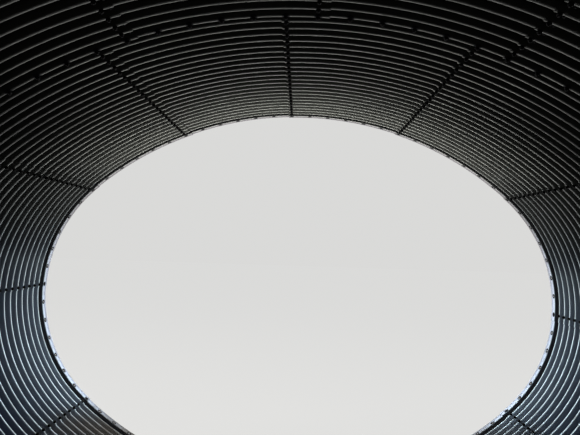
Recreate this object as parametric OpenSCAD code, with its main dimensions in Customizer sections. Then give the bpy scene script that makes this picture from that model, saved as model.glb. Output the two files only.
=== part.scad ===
// Bolted barrel of corrugated steel plate, a wide ellipse in section, for a culvert or underpass.
// X runs across the barrel, Y along it towards the open end, Z up. The barrel rests on Z = 0.
// Each ring has twelve plates: four in the roof, two in each wall and four in the floor.

/* [Section] */
// Distance from bolt to bolt round the barrel
bolt_space = 243.84; // [200:0.01:300]
// Bolt spaces across each roof plate, from left to right
roof_spaces = [6, 6, 6, 7]; // [5:1:8]
// Bolt spaces across each wall plate, from the roof down
wall_spaces = [7, 6]; // [5:1:8]
// Radius of the roof and floor arcs, at the middle of the corrugation
roof_r = 4180; // [3400:10:6000]

/* [Plates] */
// Rings of plates along the barrel
rings = 3; // [1:2:5]
// Corrugations along one plate
waves = 24; // [6:1:30]
// Distance from crest to crest
wave_pitch = 152.4; // [127:0.1:185]
// Height of the corrugation, from the middle of the sheet to the middle of the sheet
wave_depth = 50.8; // [40:0.1:61]
// Thickness of the sheet
sheet_t = 5; // [3:0.1:7]
// Radius at the inside of each bend
bend_r = 28.6; // [20:0.1:35]

/* [Laps] */
// Distance from the centre line of a long seam to the edge of the plate
seam_edge = 60.3; // [50:0.1:80]
// Distance from the centre line of a long seam to each of its two rows of bolts
seam_row = 25.4; // [20:0.1:30]
// Distance from the last crest to the edge of the plate where two rings lap
ring_edge = 50.8; // [30:0.1:62]
// Least clearance between lapped plates, square to the sheet
lap_gap = 0.3; // [0.1:0.1:1]

/* [Open ends] */
// Distance from the last crest to the line of bolt holes in the flat lip
lip_hole = 20; // [16:1:40]
// Distance from the line of bolt holes to the edge of the flat lip
lip_edge = 66; // [30:1:100]
// Diameter of the bolt holes in the flat lip
hole_d = 25; // [16:1:30]

/* [Hidden] */
$fn = 64;
// Facets of a full turn of the plates, which are short arcs of a wide circle
PLATE_FN = 720;
PLATE_NAMES = [
    "roof_outer_left", "roof_left", "roof_right", "roof_outer_right",
    "wall_right_upper", "wall_right_lower",
    "floor_outer_right", "floor_right", "floor_left", "floor_outer_left",
    "wall_left_lower", "wall_left_upper"
];
// Plates in the roof and in one wall
ROOF_PLATES = len(roof_spaces);
WALL_PLATES = len(wall_spaces);
PLATES = len(PLATE_NAMES);
// True where the plate before a seam lies inside the plate after it
BEFORE_IS_INSIDE = [true, true, false, false, false, true, true, true, true, false, false, false];
RADIAN = 180 / PI;

// Bends, taken at the middle of the sheet
half_pitch = wave_pitch / 2;
mid_r = bend_r + sheet_t / 2;
bend_rise = 2 * mid_r - wave_depth;
// Slope of the straight web between two bends
slope = asin(2 * mid_r / norm([half_pitch, bend_rise])) - atan2(bend_rise, half_pitch);
// Each bend is turned in three equal corners: its peak and a shoulder on each side, on the web's line
shoulder_slope = slope / 3;
web_shift = mid_r * sin(slope) * tan(slope) - mid_r * (1 - cos(slope));
shoulder_from_peak = web_shift / (tan(slope) - tan(shoulder_slope));
shoulder_drop = shoulder_from_peak * tan(shoulder_slope);

// Ring and lip sizes
ring_len = waves * wave_pitch;
lip_len = lip_hole + lip_edge;
// Length of the tool that cuts a bolt hole, well clear of both faces
drill_len = 4 * sheet_t;

// The four arcs of the section, clockwise from the upper left: roof, right wall, floor, left wall
spaces = concat(roof_spaces, wall_spaces, roof_spaces, wall_spaces);
roof_half = sum(roof_spaces) * bolt_space / 2 / roof_r * RADIAN;
wall_half = 90 - roof_half;
wall_r = sum(wall_spaces) * bolt_space / 2 / wall_half * RADIAN;
centre_x = (roof_r - wall_r) * sin(roof_half);
centre_z = (roof_r - wall_r) * cos(roof_half);
half_rise = roof_r - centre_z;

// Laps. Two lapped sheets must lie this far apart, measured outwards from the middle of the barrel
sheet_step = (sheet_t + lap_gap) / cos(slope);
// Beyond its seam, a tipped plate comes nearer to its neighbour by this share of the step at the seam
tip_share = seam_edge / (min(spaces) * bolt_space);
seam_step = sheet_step / (1 - tip_share);
// Beyond their seam, a roof or floor plate and a wall plate bend apart by this much. The wall plate
// lies inside there, so this only brings a roof or floor plate nearer to the next ring's wall.
edge_parting = pow(seam_edge, 2) / 2 * (1 / wall_r - 1 / roof_r);
// Every second ring lies this far inside the mean radius, and the others lie this far outside it
ring_shift = (sheet_step + (1 + tip_share) * seam_step + edge_parting) / 2;
// The outermost floor plates, those of the end rings, rest on Z = 0
peak_face = sheet_t / 2 / cos(shoulder_slope);
axis_z = half_rise + wave_depth / 2 + peak_face + seam_step / 2 + ring_shift;

function sum(v, i = 0) = i < len(v) ? v[i] + sum(v, i + 1) : 0;
function reversed(v) = [for (i = [len(v) - 1 : -1 : 0]) v[i]];
function wrapped(i) = (i + PLATES) % PLATES;

// Every second ring is the mirror image of the first, so its left and right names swap
function is_mirrored(ring) = ring % 2 == 0;
function plate_name(ring, p) =
    str("ring", ring, "_", PLATE_NAMES[is_mirrored(ring) ? wrapped(ROOF_PLATES - 1 - p) : p]);

// Which arc a plate lies in: 0 roof, 1 right wall, 2 floor, 3 left wall
function arc_of(p) =
    p < ROOF_PLATES ? 0 :
    p < ROOF_PLATES + WALL_PLATES ? 1 :
    p < 2 * ROOF_PLATES + WALL_PLATES ? 2 : 3;
function first_in_arc(p) =
    [0, ROOF_PLATES, ROOF_PLATES + WALL_PLATES, 2 * ROOF_PLATES + WALL_PLATES][arc_of(p)];
function arc_radius(p) = arc_of(p) % 2 == 0 ? roof_r : wall_r;
function arc_centre(p) = [[0, -centre_z], [centre_x, 0], [0, centre_z], [-centre_x, 0]][arc_of(p)];
function arc_start(p) = 90 * arc_of(p) - (arc_of(p) % 2 == 0 ? roof_half : wall_half);
function spaces_before(p) = p > first_in_arc(p) ? spaces[p - 1] + spaces_before(p - 1) : 0;
// Degrees round the section from a plate's first seam to its middle, and its middle's direction,
// clockwise from straight up
function half_turn(p) = spaces[p] * bolt_space / 2 / arc_radius(p) * RADIAN;
function plate_turn(p) =
    arc_start(p) + spaces_before(p) * bolt_space / arc_radius(p) * RADIAN + half_turn(p);

// How far a plate lies outwards at its two seams, over one neighbour or under it
function start_shift(p) = (BEFORE_IS_INSIDE[p] ? 1 : -1) * seam_step / 2;
function end_shift(p) = (BEFORE_IS_INSIDE[wrapped(p + 1)] ? -1 : 1) * seam_step / 2;

// Height of the middle of the sheet above the crests, u away from a crest.
// Crests stand towards the middle of the barrel, and valleys away from it.
function wave_height(u) =
    u < shoulder_from_peak ? u * tan(shoulder_slope) :
    u < half_pitch - shoulder_from_peak ? shoulder_drop + (u - shoulder_from_peak) * tan(slope) :
    wave_depth - (half_pitch - u) * tan(shoulder_slope);

// The peak and shoulders of bend k, crests being even and valleys odd
function bend_corners(k) =
    let (is_crest = k % 2 == 0)
    [for (side = [-1 : 1])
        let (drop = abs(side) * shoulder_drop)
        [is_crest ? drop : wave_depth - drop, k * half_pitch + side * shoulder_from_peak]];

// The middle of the sheet in section, from one end of the plate to the other: X is the height above
// the crests and Y runs along the plate. An open end runs out flat, level with its last crest.
function sheet_middle(open_from, open_to) =
    let (
        low = open_from ? -shoulder_from_peak / 2 : -ring_edge,
        high = ring_len + (open_to ? shoulder_from_peak / 2 : ring_edge)
    )
    concat(
        [open_from ? [0, -lip_len] : [wave_height(ring_edge), low]],
        [for (k = [-1 : 2 * waves + 1], corner = bend_corners(k))
            if (corner.y > low && corner.y < high) corner],
        [open_to ? [0, ring_len + lip_len] : [wave_height(ring_edge), high]]
    );

// The direction square to a line, towards the middle of the barrel
function square_to(from, to) = [from.y - to.y, to.x - from.x] / norm(to - from);

// A line moved sideways by the same distance all along, with mitred corners
function moved_sideways(line, distance) =
    [for (i = [0 : len(line) - 1])
        let (
            before = square_to(line[max(i, 1) - 1], line[max(i, 1)]),
            after = square_to(line[min(i, len(line) - 2)], line[min(i, len(line) - 2) + 1])
        )
        line[i] + distance * (before + after) / (1 + before * after)];

module sheet_section(open_from, open_to) {
    middle = sheet_middle(open_from, open_to);
    inner_face = moved_sideways(middle, sheet_t / 2);
    outer_face = moved_sideways(middle, -sheet_t / 2);
    polygon(concat(inner_face, reversed(outer_face)));
}

// A curved plate with its middle straight above the Y axis and its seams half a turn to each side
module curved_sheet(r, half, open_from, open_to) {
    edge = half + seam_edge / r * RADIAN;
    rotate([-90, 0, 0])
        rotate([0, 0, -90 - edge])
            rotate_extrude(angle = 2 * edge, $fn = PLATE_FN)
                translate([r - wave_depth / 2, 0])
                    sheet_section(open_from, open_to);
}

// The holes line up with the first row of bolts in each long seam, the row in the crests
module lip_holes(r, half, count, y) {
    row_turn = seam_row / r * RADIAN;
    for (i = [0 : count])
        rotate([0, (2 * i / count - 1) * half - row_turn, 0])
            translate([0, y, r - wave_depth / 2])
                cylinder(h = drill_len, d = hole_d, center = true);
}

module corrugated_plate(r, half, count, open_from, open_to) {
    difference() {
        curved_sheet(r, half, open_from, open_to);
        if (open_from) lip_holes(r, half, count, -lip_hole);
        if (open_to) lip_holes(r, half, count, ring_len + lip_hole);
    }
}

// A plate at its place in its ring. It is sprung a little wider or tighter to its place outside or
// inside its neighbours, and tipped where it goes over one neighbour and under the other.
module placed_plate(ring, p) {
    half = half_turn(p);
    r = arc_radius(p) + (start_shift(p) + end_shift(p)) / 2 + (is_mirrored(ring) ? -1 : 1) * ring_shift;
    tip = atan((end_shift(p) - start_shift(p)) / (2 * r * sin(half)));
    mirror([is_mirrored(ring) ? 1 : 0, 0, 0])
        translate([arc_centre(p).x, (rings / 2 - ring) * ring_len, axis_z + arc_centre(p).y])
            rotate([0, plate_turn(p), 0])
                translate([0, 0, r])
                    rotate([0, -tip, 0])
                        translate([0, 0, -r])
                            corrugated_plate(r, half, spaces[p], ring == rings, ring == 1);
}

module roof_plate(ring, p) color("darkgray") placed_plate(ring, p);
module wall_plate(ring, p) color("lightslategray") placed_plate(ring, p);
module floor_plate(ring, p) color("gray") placed_plate(ring, p);

module plate(ring, p) {
    if (arc_of(p) == 0) roof_plate(ring, p);
    else if (arc_of(p) == 2) floor_plate(ring, p);
    else wall_plate(ring, p);
}

for (ring = [1 : rings], p = [0 : PLATES - 1])
    plate(ring, p);
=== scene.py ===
import math
import random

import bpy
from mathutils import Matrix, Vector
from mathutils.bvhtree import BVHTree


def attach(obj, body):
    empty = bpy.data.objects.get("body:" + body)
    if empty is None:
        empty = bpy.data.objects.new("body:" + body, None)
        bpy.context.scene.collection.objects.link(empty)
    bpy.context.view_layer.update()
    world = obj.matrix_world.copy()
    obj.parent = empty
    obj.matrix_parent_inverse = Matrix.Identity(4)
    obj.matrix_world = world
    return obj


# The bolts, finish, camera and studio of a corrugated steel culvert barrel, round its CAD model

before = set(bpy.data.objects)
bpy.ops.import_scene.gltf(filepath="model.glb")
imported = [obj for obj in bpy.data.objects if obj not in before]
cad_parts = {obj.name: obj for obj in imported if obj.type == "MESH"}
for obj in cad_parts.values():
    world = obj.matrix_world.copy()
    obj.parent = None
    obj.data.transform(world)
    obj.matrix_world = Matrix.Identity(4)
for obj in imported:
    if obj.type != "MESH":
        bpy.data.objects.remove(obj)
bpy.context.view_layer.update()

# Driving sizes of the barrel, in metres
BOLT_SPACE = 0.24384
ROOF_SPACES = (6, 6, 6, 7)
WALL_SPACES = (7, 6)
ROOF_R = 4.18
WAVES = 24
WAVE_PITCH = 0.1524
WAVE_DEPTH = 0.0508
# Radius at the middle of the sheet in each bend
BEND_R = 0.0311
RINGS = 3
# Distance from the last crest to the bolt holes of the lip
LIP_HOLE = 0.02
HOLE_R = 0.0125
# Distance from a seam's centre line to its row of bolts in the crests, which lies before it and in line
# with the bolts of the ring joints and the holes of the lips, and to its row in the valleys, after it
SEAM_ROW = 0.0254
# Height of the barrel's middle line above the floor
AXIS_Z = 2.5071

# Sizes that follow from them
RING_LEN = WAVES * WAVE_PITCH
SPACES = ROOF_SPACES + WALL_SPACES + ROOF_SPACES + WALL_SPACES
ALL_SPACES = sum(SPACES)
HALF_SPACE = BOLT_SPACE / 2
# Half the angle that the arc of the roof or floor spans, and of a wall
ROOF_HALF = sum(ROOF_SPACES) * HALF_SPACE / ROOF_R
WALL_HALF = math.pi / 2 - ROOF_HALF
WALL_R = sum(WALL_SPACES) * HALF_SPACE / WALL_HALF
# How far the walls' centres lie from the middle line sideways, and those of the roof and floor up and down
CENTRE_X = (ROOF_R - WALL_R) * math.sin(ROOF_HALF)
CENTRE_Z = (ROOF_R - WALL_R) * math.cos(ROOF_HALF)
HALF_PITCH = WAVE_PITCH / 2
# Angle of the straight flanks between the bends
BEND_RISE = 2 * BEND_R - WAVE_DEPTH
SLOPE = math.asin(2 * BEND_R / math.hypot(HALF_PITCH, BEND_RISE)) - math.atan2(BEND_RISE, HALF_PITCH)
LAST_CREST = RINGS * RING_LEN / 2
FIRST_JOINT = LAST_CREST - RING_LEN

# A 3/4 inch hexagon bolt, in metres
HEX_R = 0.0156 / math.cos(math.pi / 6)
SHANK_R = 0.0095
NUT_HEIGHT = 0.0165
HEAD_HEIGHT = 0.0125
BEVEL = 0.002
# How far the thread stands out of the nut, and the bevel at its end
THREAD_OUT = 0.0085
THREAD_BEVEL = 0.0015
# How far the collars under nuts and heads reach into the sheet, so that they leave no gap on a curved face
COLLAR_DEPTH = 0.004
# How far a nut or head stands off the bottom of a hollow bend
HOLLOW_LIFT = 0.0042
# How far before and behind the middle of the corrugation the rays start that find the plates' faces, and
# how far along the barrel they are moved, so that none runs along an edge between two facets
RAY_REACH = 0.25
RAY_SHIFT = 0.0004

# The camera of the photograph: 580 x 435 pixels, fitted to the bolts that show
PHOTO_WIDTH = 580
FOCAL_PIXELS = 613.3
SENSOR_WIDTH = 36
CAMERA_PLACE = (0.007, -2.688, AXIS_Z + 0.727)
CAMERA_YAW, CAMERA_PITCH, CAMERA_ROLL = 0.954, 2.482, -1.773

# Colours of the inside, low down and high up, and the heights between which the one turns into the other.
# The change with height is painted light and shade: a bluish cast of sky light low down, an olive cast of
# light from the ground on the metal high up, and painted shade on the lips high up. The second entry is the
# near black of the painted shade.
INSIDE_COLOURS = {
    "metal": ((0.38, 0.455, 0.47, 1), (0.485, 0.495, 0.43, 1), 3.2, 4.4),
    "painted_shade": ((0.007, 0.011, 0.032, 1), (0.007, 0.007, 0.006, 1), 2.3, 3.6),
    "lip": ((0.33, 0.36, 0.43, 1), (0.15, 0.14, 0.15, 1), 2.3, 3.8),
}
OUTSIDE = (0.44, 0.45, 0.445, 1)
DUST = (0.17, 0.155, 0.13, 1)
SILT = (0.055, 0.045, 0.035, 1)
# Near black of the painted shade in the corners, in the last valley before each lip and round holes and
# bolts
SHADE_BLACK = (0.006, 0.006, 0.007, 1)
# The nuts inside are near black from grime and painted shade
NUT_COLOUR = (0.008, 0.008, 0.008, 1)
HEAD_COLOUR = (0.42, 0.43, 0.42, 1)

# Shares of painted shade on the inside: between the crests and on them, each by a lip and deep inside, and
# the most on the crests of the haunches, which are the barrel's upper sides. Softness is how gently the
# painted shade sets in beside the crests.
WALL_PAINTED_SHADE = {"between": (0.84, 0.96), "crests": (0.0, 0.2), "haunches": 0.78, "softness": 0.22}
PAINTED_SHADE = {
    "roof": {"between": (0.88, 0.985), "crests": (0.14, 0.88), "haunches": 0.98, "softness": 0.13},
    "wall": WALL_PAINTED_SHADE,
    "floor": WALL_PAINTED_SHADE,
}
# Where the painted shade darkens, as distances in from the last crest: between the crests, on them, on the
# haunches of the roof, and on the sides of the crests
DARKER_BETWEEN = (2.4, 0.0)
DARKER_ON_CRESTS = (4.6, 1.3)
DARKER_ON_HAUNCHES = (3.0, 0.6)
DARKER_ON_SIDES = (3.0, 0.2)
# The lean towards the nearer opening under which the sides take painted shade, deep inside and by a lip
LIT_LEAN = (-0.05, -0.16)
# Where the haunches begin and end, as distances from the middle of the roof and as heights on the walls
ROOF_HAUNCHES = {"deep": (0.9, 2.4), "crests": (1.7, 2.8), "between": (1.6, 2.7)}
WALL_HAUNCHES = {"crests": (2.2, 3.6), "between": (1.9, 3.2)}
# Heights over which stuck soil and silt come to an end, counted from a floor that a cloudy noise lowers
SOIL_TOP = (0.7, 1.6)
SILT_TOP = (1.1, 1.7)
UNEVENNESS = 0.9
# Distances in from the last crest where the painted black shadow of the last valley starts and ends, and
# the lip starts
VALLEY_START = (0.115, 0.085)
VALLEY_END = (0.022, 0.012)
LIP_START = (0.01, -0.01)
# Width of the painted black shade round a hole or bolt, to where it starts to fade and to where it ends
RING_WIDTH = (0.014, 0.022)
# How like the rounded normal a plate's own normal is on a face, and not on a cut edge
FACE_LIKENESS = 0.93

# The even colour of the background, the floor's own colour under it, and the share of the even colour
PALE = (0.70, 0.70, 0.69, 1)
PALE_FLOOR = (0.72, 0.71, 0.69, 1)
EVEN_SHARE = 0.8
# The floor's colour as the object sees it
DULL_FLOOR = (0.1, 0.1, 0.095, 1)
FLOOR_HALF = 90.0
FLOOR_TOP = -0.001
WORLD_LIGHT = (0.93, 0.97, 1.0, 1)
WORLD_STRENGTH = 0.04

# Width and height of the lamps before the open ends, a little under the opening's, and how far from the
# barrel's middle they stand
DAY_SIZE = (6.4, 4.6)
DAY_Y = 5.75
STUDIO_SIZE = (12, 12)
# Light colours
WHITE = (1.0, 1.0, 1.0)
SKY_BLUE = (0.72, 0.87, 1.0)
WARM = (1.0, 0.98, 0.95)
COOL = (0.95, 0.98, 1.0)


# Camera

def add_camera():
    data = bpy.data.cameras.new("photo_camera")
    data.sensor_width = SENSOR_WIDTH
    data.lens = FOCAL_PIXELS / PHOTO_WIDTH * SENSOR_WIDTH
    data.clip_start, data.clip_end = 0.05, 500
    camera = bpy.data.objects.new("photo_camera", data)
    turn = (Matrix.Rotation(math.radians(CAMERA_YAW), 4, "Z")
            @ Matrix.Rotation(math.radians(CAMERA_PITCH), 4, "X")
            @ Matrix.Rotation(math.radians(CAMERA_ROLL), 4, "Y")
            @ Matrix.Rotation(math.pi / 2, 4, "X"))
    camera.matrix_world = Matrix.Translation(CAMERA_PLACE) @ turn
    bpy.context.scene.collection.objects.link(camera)
    bpy.context.scene.camera = camera


# Materials

class Nodes:
    """A material's node tree, built by short calls."""

    def __init__(self, name):
        self.material = bpy.data.materials.new(name)
        self.material.use_nodes = True
        self.tree = self.material.node_tree
        self.shader = self.tree.nodes["Principled BSDF"]
        self.place = self.add("ShaderNodeTexCoord").outputs["Object"]
        self.x, self.y, self.z = self.add("ShaderNodeSeparateXYZ", {0: self.place}).outputs

    def add(self, kind, inputs=(), **settings):
        node = self.tree.nodes.new(kind)
        for key, value in settings.items():
            setattr(node, key, value)
        for key, value in dict(inputs).items():
            self.feed(node.inputs[key], value)
        return node

    def feed(self, socket, value):
        if isinstance(value, bpy.types.NodeSocket):
            self.tree.links.new(value, socket)
        else:
            socket.default_value = value

    def math(self, operation, value, *others):
        """One math node, or a row of them where there are more than two values."""
        if not others:
            return self.add("ShaderNodeMath", {0: value}, operation=operation).outputs[0]
        for other in others:
            value = self.add("ShaderNodeMath", {0: value, 1: other}, operation=operation).outputs[0]
        return value

    def vector(self, operation, *values):
        inputs = {3 if operation == "SCALE" and i else i: value for i, value in enumerate(values)}
        node = self.add("ShaderNodeVectorMath", inputs, operation=operation)
        return node.outputs["Value" if operation in ("DOT_PRODUCT", "LENGTH") else "Vector"]

    def noise(self, scale, detail, roughness, stretch=None):
        place = self.place
        if stretch:
            place = self.vector("MULTIPLY", place, stretch)
        inputs = {"Vector": place, "Scale": scale, "Detail": detail, "Roughness": roughness}
        return self.add("ShaderNodeTexNoise", inputs).outputs["Fac"]

    def ramp(self, value, low, high, to_low=0.0, to_high=1.0):
        inputs = {"Value": value, "From Min": low, "From Max": high, "To Min": to_low, "To Max": to_high}
        return self.add("ShaderNodeMapRange", inputs, interpolation_type="SMOOTHSTEP").outputs["Result"]

    def vary(self, noise, low, high):
        """A number from low to high that follows the usual range of a noise."""
        return self.ramp(noise, 0.3, 0.7, low, high)

    def mix(self, factor, a, b, blend="MIX"):
        node = self.add("ShaderNodeMix", data_type="RGBA", blend_type=blend)
        self.feed(node.inputs[0], factor)
        self.feed(node.inputs[6], a)
        self.feed(node.inputs[7], b)
        return node.outputs[2]

    def shade(self, colour, value):
        grey = self.add("ShaderNodeCombineColor", {"Red": value, "Green": value, "Blue": value}).outputs[0]
        return self.mix(1.0, colour, grey, "MULTIPLY")


class PlateNodes(Nodes):
    """The node tree of one kind of plate, with the places and patterns that its layers share."""

    def __init__(self, part):
        super().__init__(f"zinc_{part}")
        self.part = part
        self.own_normal = self.add("ShaderNodeNewGeometry").outputs["Normal"]
        across, out, radius, self.outward = arc_frame(self)
        faces_out = self.vector("DOT_PRODUCT", self.own_normal, self.outward)
        self.is_inner = self.math("LESS_THAN", faces_out, 0.1)

        # The crests stand towards the barrel's middle, and the wave is 1 on them and -1 in the valleys
        self.phase = self.math("MULTIPLY", self.y, 2 * math.pi / WAVE_PITCH)
        self.wave = self.math("COSINE", self.phase)
        self.crest = self.ramp(self.wave, -1.0, 1.0)
        self.end = self.math("ABSOLUTE", self.y)
        self.lip = self.by_end(*LIP_START)
        arc = self.math("MULTIPLY", self.math("ARCTAN2", across, out), radius)
        self.from_bolt = self.math("PINGPONG", self.math("ADD", arc, SEAM_ROW + HALF_SPACE), HALF_SPACE)

        spangle = self.add("ShaderNodeTexVoronoi", {"Vector": self.place, "Scale": 70.0}).outputs["Color"]
        self.spangle = self.add("ShaderNodeSeparateColor", {0: spangle}).outputs["Red"]
        self.cloud = self.noise(scale=0.9, detail=6, roughness=0.6)
        self.runs = self.noise(scale=1.0, detail=5, roughness=0.6, stretch=(0.8, 11.0, 0.8))
        self.grit = self.noise(scale=38.0, detail=5, roughness=0.7)
        self.uneven_z = self.math("ADD", self.z, self.math("MULTIPLY", self.cloud, UNEVENNESS))

    def by_end(self, deep, near, to_deep=0.0, to_near=1.0):
        """A ramp along the barrel, between two distances in from the last crest."""
        return self.ramp(self.end, LAST_CREST - deep, LAST_CREST - near, to_deep, to_near)

    # An inside colour by height, with its painted light and shade
    def inside_colour(self, name):
        low, high, low_z, high_z = INSIDE_COLOURS[name]
        return self.mix(self.ramp(self.z, low_z, high_z), low, high)


def arc_frame(n):
    """A place's distance across its arc and out from its centre, the arc's radius and the way outward."""
    if n.part == "wall":
        side = n.math("SIGN", n.x)
        x = n.math("SUBTRACT", n.x, n.math("MULTIPLY", side, CENTRE_X))
        z = n.math("SUBTRACT", n.z, AXIS_Z)
        across, out = n.math("MULTIPLY", side, n.math("MULTIPLY", z, -1.0)), n.math("MULTIPLY", side, x)
        radius = WALL_R
    else:
        side = 1.0 if n.part == "roof" else -1.0
        x, z = n.x, n.math("SUBTRACT", n.z, AXIS_Z - side * CENTRE_Z)
        across, out = n.math("MULTIPLY", x, side), n.math("MULTIPLY", z, side)
        radius = ROOF_R
    outward = n.vector("NORMALIZE", n.add("ShaderNodeCombineXYZ", {"X": x, "Z": z}).outputs[0])
    return across, out, radius, outward


def bend_tilt(n):
    """How far the inner face leans along the barrel, as the Y part of its normal. The lips are level."""
    from_crest = n.math("PINGPONG", n.y, HALF_PITCH)
    from_bend = n.math("MINIMUM", from_crest, n.math("SUBTRACT", HALF_PITCH, from_crest))
    tilt = n.math("MINIMUM", n.math("DIVIDE", from_bend, BEND_R), math.sin(SLOPE))
    leans_to = n.math("SIGN", n.math("SINE", n.phase))
    return n.math("MULTIPLY", tilt, leans_to, n.math("LESS_THAN", n.end, LAST_CREST))


def rounded_normal(n, tilt):
    """The normal of the round bends that the plates' narrow facets stand for, and whether this is a face.

    Cut edges keep their own normal.
    """
    level = n.math("SQRT", n.math("SUBTRACT", 1.0, n.math("MULTIPLY", tilt, tilt)))
    inward = n.vector("SCALE", n.outward, n.math("MULTIPLY", level, -1.0))
    inward = n.vector("ADD", inward, n.add("ShaderNodeCombineXYZ", {"Y": tilt}).outputs[0])
    likeness = n.vector("DOT_PRODUCT", n.own_normal, inward)
    is_face = n.math("GREATER_THAN", n.math("ABSOLUTE", likeness), FACE_LIKENESS)
    rounded = n.vector("SCALE", inward, n.math("SIGN", likeness))
    blend = n.add("ShaderNodeMix", {0: is_face, 4: n.own_normal, 5: rounded}, data_type="VECTOR")
    return blend.outputs[1], is_face


def zinc_colour(n):
    """Zinc with cloudy stains, streaks round the section and spangle, a painted highlight on the crests and
    painted shade in the valleys.
    """
    tone = n.math("MULTIPLY", n.vary(n.cloud, 0.86, 1.1), n.ramp(n.runs, 0.32, 0.68, 0.9, 1.06),
                  n.ramp(n.spangle, 0.0, 1.0, 0.95, 1.05), n.ramp(n.crest, 0.0, 1.0, 0.82, 1.08))
    inner = n.mix(n.lip, n.inside_colour("metal"), n.inside_colour("lip"))
    return n.shade(n.mix(n.is_inner, OUTSIDE, inner), tone)


def dirt_share(n):
    """Dust in the valleys, and soil that has stuck low down."""
    patch = n.ramp(n.math("MULTIPLY", n.runs, n.math("ADD", n.grit, 0.5)), 0.38, 0.62)
    soil = n.math("MULTIPLY", n.ramp(n.uneven_z, *SOIL_TOP, 1.0, 0.0), n.ramp(patch, 0.0, 1.0, 0.25, 0.85))
    dust = n.math("MULTIPLY", n.ramp(n.crest, 0.0, 0.6, 0.35, 0.0), n.ramp(n.grit, 0.35, 0.65))
    return n.math("MAXIMUM", soil, dust)


def haunch_painted_shade(n):
    """The least painted shade on the crests and between them, which grows towards the barrel's upper sides.
    """
    most = PAINTED_SHADE[n.part]["haunches"]
    if n.part == "roof":
        off_middle = n.math("ABSOLUTE", n.x)
        deep = n.math("MULTIPLY", n.ramp(off_middle, *ROOF_HAUNCHES["deep"]),
                      n.by_end(*DARKER_ON_HAUNCHES, most, 0.0))
        on_crests = n.math("MAXIMUM", deep, n.ramp(off_middle, *ROOF_HAUNCHES["crests"], 0.0, 0.6))
        return on_crests, n.ramp(off_middle, *ROOF_HAUNCHES["between"], 0.0, 0.96)
    on_crests = n.ramp(n.z, *WALL_HAUNCHES["crests"], 0.0, most)
    return on_crests, n.ramp(n.z, *WALL_HAUNCHES["between"], 0.0, 0.97)


def painted_shade_share(n, tilt, is_face):
    """Painted shade on the inside, little on the crests and much between them, but none on the lips.

    It is darkest on the sides turned away from the nearer opening, and it darkens away from the lips.
    """
    by_lip, deep = PAINTED_SHADE[n.part]["between"]
    crest_by_lip, crest_deep = PAINTED_SHADE[n.part]["crests"]
    softness = PAINTED_SHADE[n.part]["softness"]
    least_on_crests, least_between = haunch_painted_shade(n)

    # Sides turned away from the nearer opening, valleys and cut edges take the darker painted shade
    turned_to = n.math("MULTIPLY", tilt, n.math("SIGN", n.y))
    lit_from = n.by_end(*DARKER_ON_SIDES, *LIT_LEAN)
    turned_away = n.ramp(n.math("SUBTRACT", turned_to, lit_from), -softness, softness, 1.0, 0.0)
    flank = n.ramp(turned_to, 0.40, 0.66, 0.0, 0.8)
    valley = n.ramp(n.wave, -0.6, 0.3, 0.85, 0.0)
    cut_edge = n.math("SUBTRACT", 1.0, is_face)
    in_shade = n.math("MAXIMUM", turned_away, flank, valley, cut_edge)

    between = n.math("MAXIMUM", n.by_end(*DARKER_BETWEEN, deep, by_lip), least_between)
    on_crests = n.by_end(*DARKER_ON_CRESTS, crest_deep, crest_by_lip)
    on_crests = n.math("MAXIMUM", on_crests, least_on_crests)
    share = n.add("ShaderNodeMix", {0: in_shade, 2: on_crests, 3: between}).outputs[0]
    return n.math("MULTIPLY", share, n.is_inner, n.math("SUBTRACT", 1.0, n.lip))


def black_shade_share(n):
    """Painted black shade in the last valley before each lip, round the holes and bolts, and in the
    corners.
    """
    valley = n.math("MULTIPLY", n.by_end(*VALLEY_START), n.by_end(*VALLEY_END, 1.0, 0.0), n.is_inner, 0.96)
    from_lip_holes = n.math("ABSOLUTE", n.math("SUBTRACT", n.end, LAST_CREST + LIP_HOLE))
    from_joint = n.math("ABSOLUTE", n.math("SUBTRACT", n.end, FIRST_JOINT))
    from_row = n.math("MINIMUM", from_lip_holes, from_joint)
    from_hole = n.add("ShaderNodeCombineXYZ", {"X": n.from_bolt, "Y": from_row}).outputs[0]
    fade, width = RING_WIDTH
    ring = n.ramp(n.vector("LENGTH", from_hole), HOLE_R + fade, HOLE_R + width, 1.0, 0.0)
    openness = n.add("ShaderNodeAmbientOcclusion", {"Distance": 0.05}, samples=6).outputs["AO"]
    corner = n.ramp(openness, 0.35, 0.85, 0.8, 0.0)
    return n.math("MAXIMUM", valley, ring, corner)


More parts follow.
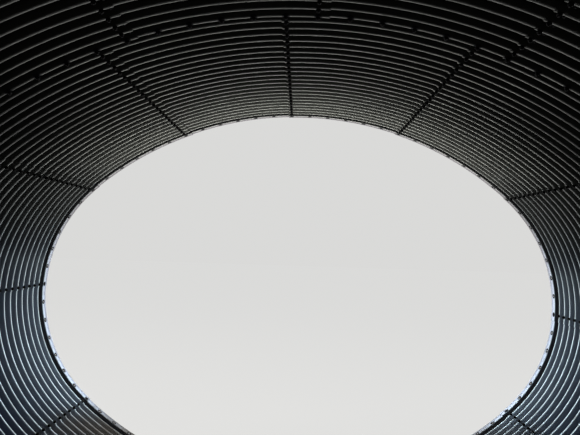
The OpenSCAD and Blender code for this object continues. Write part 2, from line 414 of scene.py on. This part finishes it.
def galvanised(part):
    """Weathered zinc on a corrugated plate, under dust, painted shade and silt inside, and painted black
    shade.
    """
    n = PlateNodes(part)
    tilt = bend_tilt(n)
    normal, is_face = rounded_normal(n, tilt)
    dirt = dirt_share(n)
    painted_shade = painted_shade_share(n, tilt, is_face)
    silt = n.math("MULTIPLY", n.ramp(n.uneven_z, *SILT_TOP, 0.96, 0.0), n.is_inner)
    black_shade = black_shade_share(n)

    surface = n.mix(dirt, zinc_colour(n), DUST)
    surface = n.mix(painted_shade, surface, n.inside_colour("painted_shade"))
    surface = n.mix(silt, surface, n.shade(SILT, n.vary(n.grit, 0.75, 1.2)))
    n.feed(n.shader.inputs["Base Color"], n.mix(black_shade, surface, SHADE_BLACK))

    # Painted shade and silt leave the zinc dull
    shade_or_silt = n.math("MAXIMUM", painted_shade, silt)
    n.feed(n.shader.inputs["Metallic"], n.ramp(shade_or_silt, 0.0, 1.0, 0.06, 0.0))
    n.shader.inputs["Specular IOR Level"].default_value = 0.08
    rough = n.math("ADD", n.vary(n.cloud, 0.48, 0.60), n.ramp(n.spangle, 0.0, 1.0, -0.03, 0.03))
    rougher = n.math("MAXIMUM", n.math("MULTIPLY", dirt, 0.3), n.math("MULTIPLY", black_shade, 0.45),
                     n.math("MULTIPLY", shade_or_silt, 0.15))
    n.feed(n.shader.inputs["Roughness"], n.math("ADD", rough, rougher))
    relief = n.math("ADD", n.math("MULTIPLY", n.cloud, 0.1), n.math("MULTIPLY", n.grit, 0.02))
    bump = n.add("ShaderNodeBump", {"Height": relief, "Strength": 0.2, "Distance": 0.01, "Normal": normal})
    n.feed(n.shader.inputs["Normal"], bump.outputs[0])
    return n.material


def bolt_steel(name, colour, metallic, roughness, specular):
    n = Nodes(name)
    grit = n.noise(scale=160.0, detail=4, roughness=0.6)
    cloud = n.noise(scale=14.0, detail=3, roughness=0.5)
    tone = n.math("MULTIPLY", n.vary(grit, 0.8, 1.12), n.vary(cloud, 0.8, 1.15))
    n.feed(n.shader.inputs["Base Color"], n.shade(colour, tone))
    n.shader.inputs["Metallic"].default_value = metallic
    n.shader.inputs["Specular IOR Level"].default_value = specular
    n.feed(n.shader.inputs["Roughness"], n.vary(grit, roughness - 0.1, roughness + 0.1))
    bump = n.add("ShaderNodeBump", {"Height": grit, "Strength": 0.3, "Distance": 0.001})
    n.feed(n.shader.inputs["Normal"], bump.outputs[0])
    return n.material


def finish_plates():
    looks = {part: galvanised(part) for part in PAINTED_SHADE}
    for name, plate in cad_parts.items():
        look = next(look for part, look in looks.items() if f"_{part}_" in name)
        plate.data.materials.clear()
        plate.data.materials.append(look)


# Places round the section

def arc_place(index):
    """Centre and radius of the arc at a bolt index, and the angle there from the top.

    Indexes are counted clockwise from the roof's left end, and angles clockwise from the top.
    """
    index = index % ALL_SPACES
    roof, wall = sum(ROOF_SPACES), sum(WALL_SPACES)
    arcs = (
        (0, -CENTRE_Z, ROOF_R, roof, -ROOF_HALF),
        (CENTRE_X, 0, WALL_R, wall, math.pi / 2 - WALL_HALF),
        (0, CENTRE_Z, ROOF_R, roof, math.pi - ROOF_HALF),
        (-CENTRE_X, 0, WALL_R, wall, 1.5 * math.pi - WALL_HALF),
    )
    for x, z, r, count, start in arcs:
        if index < count:
            break
        index -= count
    return Vector((x, 0, AXIS_Z + z)), r, start + index * BOLT_SPACE / r


def seam_indexes(ring):
    """The bolt index of each seam's centre line. Every other ring is mirrored, which staggers the seams."""
    seams = [sum(SPACES[:plate]) for plate in range(len(SPACES))]
    is_mirrored = ring % 2 == 0
    return [(sum(ROOF_SPACES) - index) % ALL_SPACES for index in seams] if is_mirrored else seams


def ring_start(ring):
    return (RINGS / 2 - ring) * RING_LEN


# Bolts

ROW_SHIFT = SEAM_ROW / BOLT_SPACE


def hexagon(height, collar_r, base, top):
    """A nut or head on its collar. Base and top are the shares of its radius that its bevels leave."""
    rings = [(-COLLAR_DEPTH, collar_r), (BEVEL / 2, HEX_R * base), (BEVEL, HEX_R),
             (height - BEVEL, HEX_R), (height, HEX_R * top)]
    return 6, rings


# Each part of a bolt as a number of sides and rings of (height above the sheet, radius)
NUT = hexagon(NUT_HEIGHT, collar_r=0.011, base=0.97, top=0.87)
HEAD = hexagon(HEAD_HEIGHT, collar_r=0.012, base=0.98, top=0.86)
THREAD_TOP = NUT_HEIGHT + THREAD_OUT
THREAD_END = (8, [(NUT_HEIGHT, SHANK_R), (THREAD_TOP - THREAD_BEVEL, SHANK_R), (THREAD_TOP, SHANK_R * 0.8)])


def lathe(verts, faces, part, place, along, side, turn, lift=0.0):
    """Adds rings of points round an axis, closed at both ends. The axis starts at place and runs along."""
    sides, rings = part
    across = along.cross(side)
    first = len(verts)
    for height, radius in rings:
        middle = place + along * (height + lift)
        for k in range(sides):
            a = turn + 2 * math.pi * k / sides
            verts.append(middle + radius * (math.cos(a) * side + math.sin(a) * across))
    for ring in range(len(rings) - 1):
        for k in range(sides):
            a, b = first + ring * sides + k, first + ring * sides + (k + 1) % sides
            faces.append((a, b, b + sides, a + sides))
    last = first + (len(rings) - 1) * sides
    faces.append(tuple(range(last, last + sides)))
    faces.append(tuple(range(first + sides - 1, first - 1, -1)))


def plate_faces():
    """All plates as one tree for finding their inner and outer faces."""
    verts, faces = [], []
    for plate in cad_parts.values():
        first = len(verts)
        verts += [v.co.copy() for v in plate.data.vertices]
        faces += [[first + i for i in p.vertices] for p in plate.data.polygons]
    return BVHTree.FromPolygons(verts, faces)


def add_bolt(verts, faces, plates, index, y, is_valley):
    """Adds a nut with the thread's end on the inside, a head on the outside and a shank between them."""
    centre, r, turn = arc_place(index)
    out = Vector((math.sin(turn), 0, math.cos(turn)))
    side = Vector((0, 1, 0))
    start = centre + side * (y + RAY_SHIFT)
    inner = plates.ray_cast(start + out * (r - RAY_REACH), out, 2 * RAY_REACH)[0]
    outer = plates.ray_cast(start + out * (r + RAY_REACH), -out, 2 * RAY_REACH)[0]
    # A valley is hollow on the inside, and a crest on the outside
    nut_lift, head_lift = (HOLLOW_LIFT, 0.0) if is_valley else (0.0, HOLLOW_LIFT)
    shank = (8, [(0.0, SHANK_R), ((outer - inner).length, SHANK_R)])
    lathe(verts, faces["inside"], NUT, inner, -out, side, random.uniform(0, math.pi / 3), nut_lift)
    lathe(verts, faces["inside"], THREAD_END, inner, -out, side, 0.0, nut_lift)
    lathe(verts, faces["outside"], HEAD, outer, out, side, random.uniform(0, math.pi / 3), head_lift)
    lathe(verts, faces["inside"], shank, inner, out, side, 0.0)


def add_bolts(name, places, plates, steels):
    """Adds a piece with a bolt at each place: a bolt index, a Y and whether it is in a valley."""
    verts, faces = [], {"inside": [], "outside": []}
    for index, y, is_valley in places:
        add_bolt(verts, faces, plates, index, y, is_valley)
    mesh = bpy.data.meshes.new(name)
    mesh.from_pydata(verts, [], faces["inside"] + faces["outside"])
    for steel in steels:
        mesh.materials.append(steel)
    for polygon in mesh.polygons[len(faces["inside"]):]:
        polygon.material_index = 1
    piece = bpy.data.objects.new(name, mesh)
    bpy.context.scene.collection.objects.link(piece)
    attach(piece, "root")


def seam_places(ring, index):
    for wave in range(WAVES):
        y = ring_start(ring) + wave * WAVE_PITCH
        # The first and last crests take the ring joint's bolts, or stand by the open holes of the lip
        if wave > 0:
            yield index - ROW_SHIFT, y, False
        yield index + ROW_SHIFT, y + HALF_PITCH, True


def add_seam_bolts(plates, steels):
    for ring in range(1, RINGS + 1):
        for number, index in enumerate(seam_indexes(ring), 1):
            add_bolts(f"ring{ring}_seam{number}_bolts", seam_places(ring, index), plates, steels)


def add_joint_bolts(plates, steels):
    for ring in range(1, RINGS):
        places = [(index - ROW_SHIFT, ring_start(ring), False) for index in range(ALL_SPACES)]
        add_bolts(f"joint{ring}_bolts", places, plates, steels)


# Floor, world and lights

def is_seen(tree):
    """1 for rays that show the background: the camera's, and those that metal or glass turns to it."""
    path = tree.nodes.new("ShaderNodeLightPath")
    seen = path.outputs["Is Camera Ray"]
    for kind in ("Is Glossy Ray", "Is Transmission Ray"):
        larger = tree.nodes.new("ShaderNodeMath")
        larger.operation = "MAXIMUM"
        tree.links.new(seen, larger.inputs[0])
        tree.links.new(path.outputs[kind], larger.inputs[1])
        seen = larger.outputs[0]
    return seen


def add_floor():
    mesh = bpy.data.meshes.new("floor")
    corners = [(-1, -1), (1, -1), (1, 1), (-1, 1)]
    mesh.from_pydata([(FLOOR_HALF * x, FLOOR_HALF * y, FLOOR_TOP) for x, y in corners], [], [(0, 1, 2, 3)])
    floor = bpy.data.objects.new("floor", mesh)
    bpy.context.scene.collection.objects.link(floor)
    n = Nodes("pale_floor")
    seen = is_seen(n.tree)
    n.feed(n.shader.inputs["Base Color"], n.mix(seen, DULL_FLOOR, PALE_FLOOR))
    n.shader.inputs["Roughness"].default_value = 0.9
    n.shader.inputs["Specular IOR Level"].default_value = 0.0
    # Strong enough that the far floor, which gets no light, is as pale as the background
    even = n.add("ShaderNodeEmission", {"Color": PALE, "Strength": 1 / EVEN_SHARE})
    share = n.math("MULTIPLY", seen, EVEN_SHARE)
    mix = n.add("ShaderNodeMixShader", {0: share, 1: n.shader.outputs[0], 2: even.outputs[0]})
    n.tree.links.new(mix.outputs[0], n.tree.nodes["Material Output"].inputs["Surface"])
    mesh.materials.append(n.material)
    return floor


def add_world():
    world = bpy.data.worlds.new("studio")
    bpy.context.scene.world = world
    world.use_nodes = True
    tree = world.node_tree
    tree.nodes.clear()
    light = tree.nodes.new("ShaderNodeBackground")
    light.inputs["Color"].default_value = WORLD_LIGHT
    light.inputs["Strength"].default_value = WORLD_STRENGTH
    seen = tree.nodes.new("ShaderNodeBackground")
    seen.inputs["Color"].default_value = PALE
    mix = tree.nodes.new("ShaderNodeMixShader")
    out = tree.nodes.new("ShaderNodeOutputWorld")
    tree.links.new(is_seen(tree), mix.inputs[0])
    tree.links.new(light.outputs[0], mix.inputs[1])
    tree.links.new(seen.outputs[0], mix.inputs[2])
    tree.links.new(mix.outputs[0], out.inputs["Surface"])


def add_lamp(name, place, aim, size, radiance, colour, shape="RECTANGLE", spread=180, receivers=None):
    """A soft lamp that looks as bright as radiance, where 1 is a white wall in full light."""
    data = bpy.data.lights.new(name, "AREA")
    data.shape = shape
    data.size, data.size_y = size
    area = size[0] * size[1] * (math.pi / 4 if shape == "ELLIPSE" else 1)
    data.energy = radiance * math.pi * area
    data.color = colour
    data.spread = math.radians(spread)
    lamp = bpy.data.objects.new(name, data)
    lamp.location = place
    lamp.rotation_euler = (Vector(aim) - Vector(place)).to_track_quat("-Z", "Y").to_euler()
    lamp.visible_camera = False
    if receivers:
        lamp.light_linking.receiver_collection = receivers
    bpy.context.scene.collection.objects.link(lamp)


def add_lamps(floor):
    # The lamps before the open ends leave the floor alone, so that it stays even
    all_but_floor = bpy.data.collections.new("not_the_floor")
    all_but_floor.objects.link(floor)
    all_but_floor.collection_objects[0].light_linking.link_state = "EXCLUDE"
    middle = (0, 0, AXIS_Z)
    day = {"aim": middle, "size": DAY_SIZE, "colour": WHITE, "shape": "ELLIPSE", "receivers": all_but_floor}
    add_lamp("front_day", place=(0, DAY_Y, AXIS_Z), radiance=2.8, **day)
    add_lamp("front_ground", place=(0, 7.4, 0.05), aim=(0, 5.9, 5.0), size=(5.0, 3.4), radiance=8.6,
             colour=WHITE, receivers=all_but_floor)
    # The two cross, and each lights the side that it is named after
    for side, name in ((-1, "sky_left"), (1, "sky_right")):
        add_lamp(name, place=(-1.6 * side, 8.0, 4.6), aim=(3.1 * side, 4.9, 1.3), size=(2.5, 2.5),
                 radiance=1.6, colour=SKY_BLUE, spread=35, receivers=all_but_floor)
    add_lamp("back_day", place=(0, -DAY_Y, AXIS_Z), radiance=0.35, **day)
    add_lamp("key", place=(-13, 0, 14), aim=middle, size=STUDIO_SIZE, radiance=4.0, colour=WARM)
    add_lamp("fill", place=(15, 0, 9), aim=middle, size=STUDIO_SIZE, radiance=2.5, colour=COOL)


random.seed(7)
add_camera()
finish_plates()
plates = plate_faces()
# The nuts are near black, for grime and painted shade
steels = (bolt_steel("grimy_shaded_nuts", NUT_COLOUR, metallic=0.0, roughness=0.85, specular=0.03),
          bolt_steel("zinc_heads", HEAD_COLOUR, metallic=0.5, roughness=0.5, specular=0.3))
add_seam_bolts(plates, steels)
add_joint_bolts(plates, steels)
floor = add_floor()
add_world()
add_lamps(floor)
bpy.context.scene.view_settings.view_transform = "Standard"
